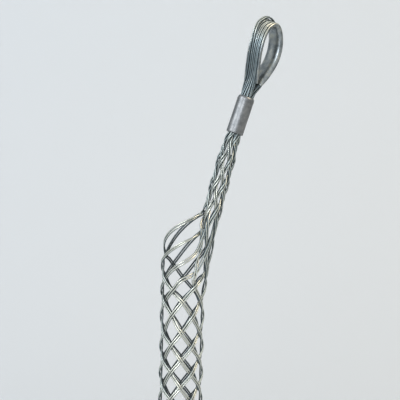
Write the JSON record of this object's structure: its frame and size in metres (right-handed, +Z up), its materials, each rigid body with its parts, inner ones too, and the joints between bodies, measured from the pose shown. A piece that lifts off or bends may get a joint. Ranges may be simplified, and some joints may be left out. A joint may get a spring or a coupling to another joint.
{
  "type": "cable pulling grip",
  "caption": "Side-pull wire mesh cable grip: plaited steel wire sleeve with open tail, side mouth, narrow neck, crimped ferrule and thimble eye.",
  "frame": {"origin": "centre of the sleeve's open tail end, on the gripped cable's axis, level with the lowest tail bends", "axes": "+Z up along the cable from the tail to the mouth, +X towards the side on which the neck, ferrule and eye stand off, +Y to complete the right-handed frame; kept upright as it hangs on a cable"},
  "size_m": [0.0986, 0.0379, 0.4072],
  "materials": {
    "wire": "galvanised steel wire, dull with fine bright lines",
    "ferrule": "satin, drawn and crimped",
    "thimble": "smooth mottled zinc coating"
  },
  "bodies": {
    "root": {"wire_1a": "wire", "wire_1b": "wire", "wire_2a": "wire", "wire_2b": "wire", "wire_3a": "wire", "wire_3b": "wire", "wire_4a": "wire", "wire_4b": "wire", "wire_5a": "wire", "wire_5b": "wire", "wire_6a": "wire", "wire_6b": "wire", "ferrule": "ferrule", "thimble": "thimble"}
  },
  "joints": []
}
